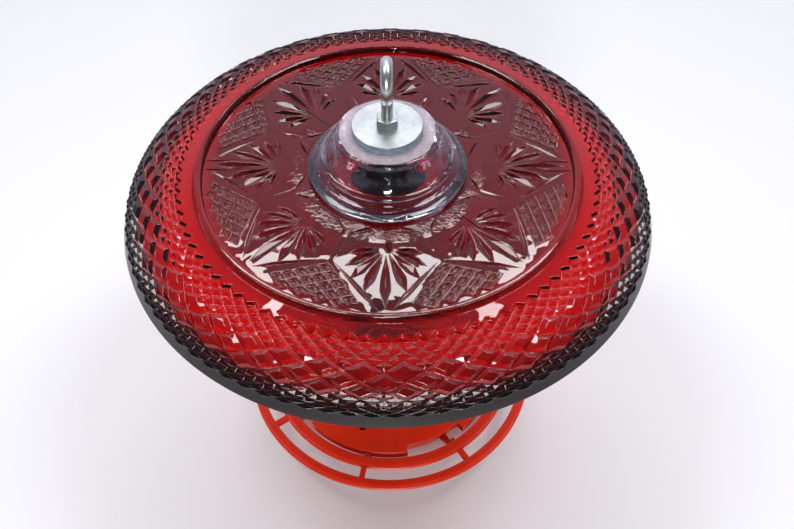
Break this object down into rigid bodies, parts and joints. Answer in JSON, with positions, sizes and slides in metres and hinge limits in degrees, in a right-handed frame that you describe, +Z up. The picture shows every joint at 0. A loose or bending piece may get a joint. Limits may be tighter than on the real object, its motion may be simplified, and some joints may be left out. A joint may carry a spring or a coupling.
{
  "type": "hummingbird feeder",
  "caption": "Hanging nectar feeder with a ruby pressed-glass rain roof, a clear glass topper, a glass bottle and a red base with feed ports and perch rings.",
  "frame": {"origin": "on the table under the middle of the base, on the axis of the bottle", "axes": "+Z up through the hanging eye, -Y towards the front, +X to the right of someone facing the front"},
  "size_m": [0.306, 0.306, 0.3069],
  "materials": {
    "ruby_glass": "pressed, gloss",
    "clear_glass": "pressed, gloss, faint lavender tint",
    "bottle_glass": "blown, gloss",
    "zinc_steel": "bright zinc plating",
    "grey_rubber": "matte",
    "clear_vinyl": "smooth, soft",
    "white_nylon": "moulded",
    "seal_rubber": "smooth, soft",
    "red_plastic": "moulded, gloss"
  },
  "bodies": {
    "basin": {"perch_basin": "red_plastic"},
    "cover": {"port_cover": "red_plastic"},
    "seal": {"neck_seal": "seal_rubber"},
    "bottle": {"eye_bolt": "zinc_steel", "eye_nut": "zinc_steel", "fender_washer": "zinc_steel", "rubber_washer": "grey_rubber", "bolt_sleeve": "clear_vinyl", "glass_topper": "clear_glass", "topper_pad": "clear_vinyl", "roof_plate": "ruby_glass", "crown_gasket": "grey_rubber", "glass_bottle": "bottle_glass", "inner_rubber_washer": "grey_rubber", "inner_fender_washer": "zinc_steel", "lock_nut": "zinc_steel", "lock_nut_insert": "white_nylon"}
  },
  "joints": [
    {"name": "cover_twist", "type": "hinge", "parent": "basin", "child": "cover", "pos_m": [0, 0, 0.0293], "axis": [0, 0, 1], "range_deg": [0, 29.5]},
    {"name": "bottle_rise", "type": "slide", "parent": "cover", "child": "seal", "axis": [0, 0, 1], "range_m": [0, 0.006]},
    {"name": "bottle_turn", "type": "hinge", "parent": "seal", "child": "bottle", "pos_m": [0, 0, 0.0389], "axis": [0, 0, 1], "range_deg": [0, 540]}
  ],
  "couplings": [
    {"joint": "bottle_rise", "follows": "bottle_turn", "m_per_rad": 0.00063662}
  ]
}
